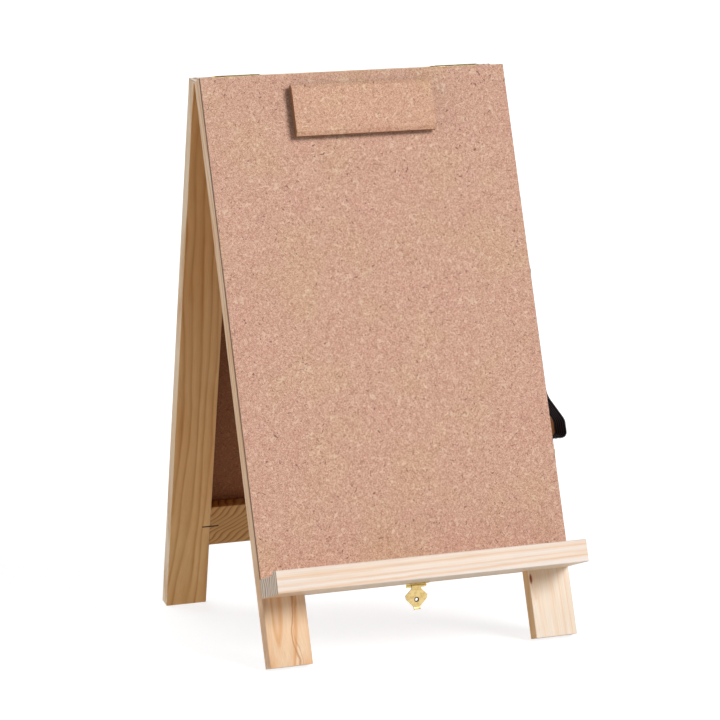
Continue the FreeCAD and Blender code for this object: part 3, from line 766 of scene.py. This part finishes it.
def ease_edges():
    """The clip block and the clasp flap lose their knife edges, and the flap's hole gets its rolled rim."""
    block = eased("clip_block", width=0.0004, shortest=0.010)
    stand_in(block, "clip_block", "paper_clip", [nodes["clip_block"].material_slots[0].material])

    flap = eased("clasp_flap", width=0.00022, shortest=0.0016)
    low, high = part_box("clasp_flap")
    pin_low, pin_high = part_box("clasp_pin")
    pin = (pin_low + pin_high) / 2
    add_rolled_rim(flap, Vector(((low.x + high.x) / 2, pin.y, pin.z - FLAP_HOLE_DROP)))
    stamped = nodes["clasp_flap"].material_slots[0].material
    # The rim's dark brass is painted shade, a dark ring round the hole.
    rim = metal("brass_rim_painted_shade", linear(92, 62, 50), linear(60, 38, 28), 0.5)
    stand_in(flap, "clasp_flap", "clasp_flap", [stamped, rim])


# ---------------------------------------------------------------- strap handle

STRAP_TOP = 0.158
STRAP_LEAVES_AT = 0.264
STRAP_BULGES_AT = 0.2845
STRAP_RETURNS_AT = 0.2963
STRAP_FOOT = 0.319
STRAP_SIDE = HALF_WIDTH + 0.00045
STRAP_FAR = STRAP_SIDE + 0.01245
STRAP_ROUTE = [
    (STRAP_SIDE, STRAP_TOP),
    (STRAP_SIDE, STRAP_LEAVES_AT),
    (STRAP_FAR, STRAP_BULGES_AT),
    (STRAP_FAR, STRAP_RETURNS_AT),
    (STRAP_SIDE, STRAP_RETURNS_AT),
    (STRAP_SIDE, STRAP_FOOT),
]
STRAP_RADII = [0.020, 0.008, 0.003, 0.0026]
STRAP_FRONT_OUT = 0.010
STRAP_TWIST = math.radians(8.5)
STRAP_BACK = Vector((0, math.cos(STRAP_TWIST), math.sin(STRAP_TWIST)))
STATION_SPACING = 0.0016
STATION_TURN = 7
WEBBING_THICKNESS = 0.0011
WEBBING_WIDTH = 0.0205
RIBS = 5
RIB_HEIGHT = 0.00045
LINING_THICKNESS = 0.0008
LINING_WIDTH = 0.0295
PAINTED_EDGE = 0.0011
STITCH_PITCH = 0.0034
STITCH_LENGTH = STITCH_PITCH * 0.72
STITCH_RADIUS = 0.00032
STITCH_INSET = 0.0026
FIRST_STITCH = 0.003
STITCHES_STOP = 0.002


def straight_stations(start, end, along):
    """Stations from start up to end, without the end's own."""
    steps = max(2, int((end - start).length / STATION_SPACING))
    return [(start.lerp(end, step / steps), along) for step in range(steps)]


def strap_stations():
    """Places (across, down) on the strap's inner face, from its top, each with its direction there."""
    stations = []
    start = Vector(STRAP_ROUTE[0])
    for index, radius in enumerate(STRAP_RADII):
        before = Vector(STRAP_ROUTE[index])
        corner = Vector(STRAP_ROUTE[index + 1])
        after = Vector(STRAP_ROUTE[index + 2])
        back = (before - corner).normalized()
        ahead = (after - corner).normalized()
        half_angle = back.angle(ahead) / 2
        enter = corner + back * (radius / math.tan(half_angle))
        leave = corner + ahead * (radius / math.tan(half_angle))
        bisector = (back + ahead).normalized()
        centre = corner + bisector * (radius / math.sin(half_angle))
        stations += straight_stations(start, enter, -back)
        steps = max(4, int(math.degrees(math.pi - 2 * half_angle) / STATION_TURN))
        first = (enter - centre).normalized()
        last = (leave - centre).normalized()
        for step in range(steps):
            share = step / steps
            radial = first.slerp(last, share)
            along = (-back).slerp(ahead, share)
            stations.append((centre + radial * radius, along))
        start = leave
    end = Vector(STRAP_ROUTE[-1])
    along = (end - start).normalized()
    return stations + straight_stations(start, end, along) + [(end, along)]


def station_lengths(stations):
    """How far along the strap each station is."""
    lengths = [0.0]
    for first, second in zip(stations, stations[1:]):
        lengths.append(lengths[-1] + (second[0] - first[0]).length)
    return lengths


def leaf_vector(across, down, back):
    """A step on the upright front leaf turned to its slope; back is measured along the strap's width."""
    upright = Vector((across, back * STRAP_BACK.y, -down + back * STRAP_BACK.z))
    return Matrix.Rotation(-HALF_SPREAD, 3, "X") @ upright


def strap_point(station, offset, back):
    """A point this far out from the strap's inner face and this far back across its width."""
    place, along = station
    outward = Vector((along.y, -along.x))
    spot = place + outward * offset
    base = leaf_point(FRONT, 0, 0, STRAP_FRONT_OUT)
    return base + leaf_vector(spot.x, spot.y, back)


def band(name, section, materials):
    """A closed band swept along the strap from a closed section of (offset, back) points.

    Where there is a second material, the faces along the front edge take it.
    """
    stations = strap_stations()
    lengths = station_lengths(stations)
    widths = [0.0]
    for first, second in zip(section, section[1:] + section[:1]):
        widths.append(widths[-1] + math.dist(first, second))
    mesh = bmesh.new()
    uv_layer = mesh.loops.layers.uv.new("strip")
    rows = []
    for station in stations:
        rows.append([mesh.verts.new(strap_point(station, offset, back)) for offset, back in section])
    for row in range(len(rows) - 1):
        upper = rows[row]
        lower = rows[row + 1]
        for column in range(len(section)):
            following = (column + 1) % len(section)
            face = mesh.faces.new((upper[column], upper[following], lower[following], lower[column]))
            corners = ((row, column), (row, column + 1), (row + 1, column + 1), (row + 1, column))
            for loop, (place, side) in zip(face.loops, corners):
                loop[uv_layer].uv = (lengths[place], widths[side])
            if len(materials) > 1 and max(section[column][1], section[following][1]) <= PAINTED_EDGE:
                face.material_index = 1
    mesh.faces.new(rows[0][::-1])
    mesh.faces.new(rows[-1])
    bmesh.ops.recalc_face_normals(mesh, faces=mesh.faces)
    return new_piece(mesh, name, materials, sharp=50)


def webbing_section():
    """The webbing's section: ribs on its inner face, a flat back and rounded selvedges."""
    edge = 0.0006
    skin = 0.0001
    front = WEBBING_THICKNESS * 0.3
    rear = WEBBING_THICKNESS * 0.7
    outer = WEBBING_THICKNESS - 0.00004
    steps = RIBS * 6
    points = []
    for step in range(steps + 1):
        share = step / steps
        rise = abs(math.cos(math.pi * RIBS * share)) ** 1.5
        points.append((RIB_HEIGHT * rise, edge + (WEBBING_WIDTH - 2 * edge) * share))
    points += [(front, WEBBING_WIDTH - skin), (rear, WEBBING_WIDTH - skin), (outer, WEBBING_WIDTH - edge)]
    return points + [(outer, edge), (rear, skin), (front, skin)]


def lining_section():
    """The leather's section: a flat strip with turned edges, slightly thinner at its sides."""
    low = WEBBING_THICKNESS
    high = WEBBING_THICKNESS + LINING_THICKNESS
    edge = 0.0004
    crown = 0.00006
    steps = 10
    inner = []
    outer = []
    for step in range(steps + 1):
        share = step / steps
        back = edge + (LINING_WIDTH - 2 * edge) * share
        inner.append((low, back))
        outer.append((high - crown * (2 * share - 1) ** 4, back))
    inner.insert(1, (low, PAINTED_EDGE))
    outer.insert(1, (high - crown / 2, PAINTED_EDGE))
    turned = [(low + 0.0002, LINING_WIDTH), (high - 0.00025, LINING_WIDTH)]
    front = [(high - 0.00025, 0.0), (low + 0.0002, 0.0)]
    return inner + turned + outer[::-1] + front


def stitch(mesh, start, end, outward):
    """One raised stitch, a short bowed thread."""
    side = (end - start).normalized().cross(outward).normalized()
    steps = 6
    corners = 6
    rings = []
    for step in range(steps + 1):
        share = step / steps
        bow = math.sin(math.pi * share)
        centre = start.lerp(end, share) + outward * (STITCH_RADIUS * (0.8 * bow - 0.6))
        size = STITCH_RADIUS * (0.45 + 0.55 * bow ** 0.5)
        ring = []
        for corner in range(corners):
            angle = 2 * math.pi * corner / corners
            offset = side * math.cos(angle) * size + outward * math.sin(angle) * size
            ring.append(mesh.verts.new(centre + offset))
        rings.append(ring)
    for first, second in zip(rings, rings[1:]):
        for corner in range(corners):
            following = (corner + 1) % corners
            mesh.faces.new((first[corner], first[following], second[following], second[corner]))
    mesh.faces.new(rings[0][::-1])
    mesh.faces.new(rings[-1])


def leather_place(stations, lengths, length, back):
    """A place on the leather this far along the strap, and the way that it faces there."""
    index = max(number for number, value in enumerate(lengths[:-1]) if value <= length)
    share = (length - lengths[index]) / max(lengths[index + 1] - lengths[index], 1e-9)
    face = WEBBING_THICKNESS + LINING_THICKNESS
    first = strap_point(stations[index], face, back)
    second = strap_point(stations[index + 1], face, back)
    along = stations[index][1]
    return first.lerp(second, share), leaf_vector(along.y, -along.x, 0).normalized()


def strap_stitches():
    """Two rows of stitches through the leather, near the webbing's edges."""
    stations = strap_stations()
    lengths = station_lengths(stations)
    mesh = bmesh.new()
    for back in (STITCH_INSET, WEBBING_WIDTH - STITCH_INSET):
        length = FIRST_STITCH
        while length + STITCH_PITCH < lengths[-1] - STITCHES_STOP:
            start, outward = leather_place(stations, lengths, length, back)
            end = leather_place(stations, lengths, length + STITCH_LENGTH, back)[0]
            stitch(mesh, start, end, outward)
            length += STITCH_PITCH
    bmesh.ops.recalc_face_normals(mesh, faces=mesh.faces)
    return new_piece(mesh, "handle_stitching", [thread_material()])


def build_strap():
    """The ribbed webbing, its leather and the stitching between them."""
    leather = leather_material()
    webbing = band("handle_webbing_ribbed", webbing_section(), [webbing_material()])
    lining = band("handle_lining_leather", lining_section(), [leather, edge_paint_material()])
    stitches = strap_stitches()
    for piece, slot in ((webbing, "webbing"), (lining, "lining"), (stitches, "lining")):
        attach(piece, "front_leaf")
    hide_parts("handle_webbing")
    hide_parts("handle_lining")
    dress(["handle_pads"], leather)


# ---------------------------------------------------------------- floor, light, camera

FLOOR_REACH = 30.0
FLOOR_GREY = (0.36, 0.36, 0.37)
FLOOR_GLOW = 0.82
BACKDROP_RADIUS = 60.0
BLACK = (0, 0, 0)


def studio_material(name, colour, glow):
    """A matt colour that shines white by itself with this strength."""
    material = bpy.data.materials.new(name)
    material.use_nodes = True
    shader = material.node_tree.nodes["Principled BSDF"]
    shader.inputs["Base Color"].default_value = (*colour, 1)
    shader.inputs["Roughness"].default_value = 0.9
    shader.inputs["Specular IOR Level"].default_value = 0.1
    shader.inputs["Emission Color"].default_value = (1, 1, 1, 1)
    shader.inputs["Emission Strength"].default_value = glow
    return material


def build_floor():
    """A plain white floor, far wider than the easel.

    It takes shadows and shows in gloss, but it sends no light or shade onto matt surfaces.
    """
    mesh = bpy.data.meshes.new("floor")
    reach = FLOOR_REACH
    corners = [(-reach, -reach, 0), (reach, -reach, 0), (reach, reach, 0), (-reach, reach, 0)]
    mesh.from_pydata(corners, [], [(0, 1, 2, 3)])
    mesh.materials.append(studio_material("floor_white", FLOOR_GREY, FLOOR_GLOW))
    floor = bpy.data.objects.new("floor", mesh)
    bpy.context.scene.collection.objects.link(floor)
    floor.visible_diffuse = False
    floor.visible_shadow = False


def build_backdrop():
    """A white dome far behind the floor's edge. It is only a backdrop, so it lights and shades nothing."""
    mesh = bmesh.new()
    bmesh.ops.create_uvsphere(mesh, u_segments=48, v_segments=24, radius=BACKDROP_RADIUS)
    data = bpy.data.meshes.new("backdrop")
    mesh.to_mesh(data)
    mesh.free()
    data.materials.append(studio_material("backdrop_white", BLACK, 1.0))
    backdrop = bpy.data.objects.new("backdrop", data)
    bpy.context.scene.collection.objects.link(backdrop)
    backdrop.visible_diffuse = False
    backdrop.visible_glossy = False
    backdrop.visible_shadow = False


def add_sun(name, heading, height, strength, softness, colour=(1, 1, 1)):
    """A distant light from a heading (0 from the front, 90 from the right) and a height, in degrees."""
    light = bpy.data.lights.new(name, "SUN")
    light.energy = strength
    light.angle = math.radians(softness)
    light.color = colour
    lamp = bpy.data.objects.new(name, light)
    across = math.radians(heading)
    up = math.radians(height)
    source = Vector((math.sin(across) * math.cos(up), -math.cos(across) * math.cos(up), math.sin(up)))
    lamp.rotation_mode = "QUATERNION"
    lamp.rotation_quaternion = source.to_track_quat("Z", "Y")
    bpy.context.scene.collection.objects.link(lamp)


ROOM_FRONT = 0.27
ROOM_BACK = 0.20
GLOW = 0.72
GLOW_COLOUR = (1.0, 0.93, 0.84)
KEY_COLOUR = (1.0, 0.985, 0.97)


def build_light():
    """A white room, dimmer behind, with a warm glow from low in front; a broad key and two fills."""
    world = bpy.data.worlds.new("studio")
    bpy.context.scene.world = world
    world.use_nodes = True
    tree = world.node_tree
    room = tree.nodes["Background"]
    towards = tree.nodes.new("ShaderNodeTexCoord").outputs["Generated"]
    split = tree.nodes.new("ShaderNodeSeparateXYZ")
    link(tree, towards, split.inputs[0])
    link(tree, span(tree, split.outputs[1], -0.4, 0.8, ROOM_FRONT, ROOM_BACK), room.inputs["Strength"])
    glow = tree.nodes.new("ShaderNodeBackground")
    glow.inputs["Color"].default_value = (*GLOW_COLOUR, 1)
    ahead = span(tree, split.outputs[1], -1.0, 0.1, 1.0, 0.35)
    low = span(tree, split.outputs[2], -0.35, 0.2, 1.0, 0.0)
    strength = math_node(tree, "MULTIPLY", math_node(tree, "MULTIPLY", ahead, low), GLOW)
    link(tree, strength, glow.inputs["Strength"])
    both = tree.nodes.new("ShaderNodeAddShader")
    link(tree, room.outputs[0], both.inputs[0])
    link(tree, glow.outputs[0], both.inputs[1])
    link(tree, both.outputs[0], tree.nodes["World Output"].inputs["Surface"])
    add_sun("key", heading=30, height=32, strength=2.55, softness=24, colour=KEY_COLOUR)
    add_sun("side_fill", heading=-74, height=6, strength=0.85, softness=40)
    add_sun("back_fill", heading=195, height=36, strength=2.1, softness=60)


CAMERA_PLACE = Vector((-0.876, -2.377, 0.564))
CAMERA_HEADING = math.radians(20.31)
CAMERA_DIP = math.radians(7.98)
CAMERA_ROLL = math.radians(-1.67)
CAMERA_LENS = 162.5


def build_camera():
    """The camera, from the front left and a little above."""
    data = bpy.data.cameras.new("camera")
    data.lens = CAMERA_LENS
    data.sensor_width = 36.0
    data.clip_end = 200.0
    camera = bpy.data.objects.new("camera", data)
    level_ahead = Vector((math.sin(CAMERA_HEADING), math.cos(CAMERA_HEADING), 0))
    level_right = Vector((level_ahead.y, -level_ahead.x, 0))
    ahead = level_ahead * math.cos(CAMERA_DIP) - Vector((0, 0, math.sin(CAMERA_DIP)))
    level_up = level_right.cross(ahead)
    right = level_right * math.cos(CAMERA_ROLL) + level_up * math.sin(CAMERA_ROLL)
    up = level_up * math.cos(CAMERA_ROLL) - level_right * math.sin(CAMERA_ROLL)
    turn = Matrix((right, up, -ahead)).transposed()
    camera.matrix_world = Matrix.Translation(CAMERA_PLACE) @ turn.to_4x4()
    bpy.context.scene.collection.objects.link(camera)
    bpy.context.scene.camera = camera


build_camera()
dress_wood()
dress_boards()
dress_metal()
ease_edges()
build_strap()
build_floor()
build_backdrop()
build_light()
bpy.context.scene.view_settings.view_transform = "Standard"
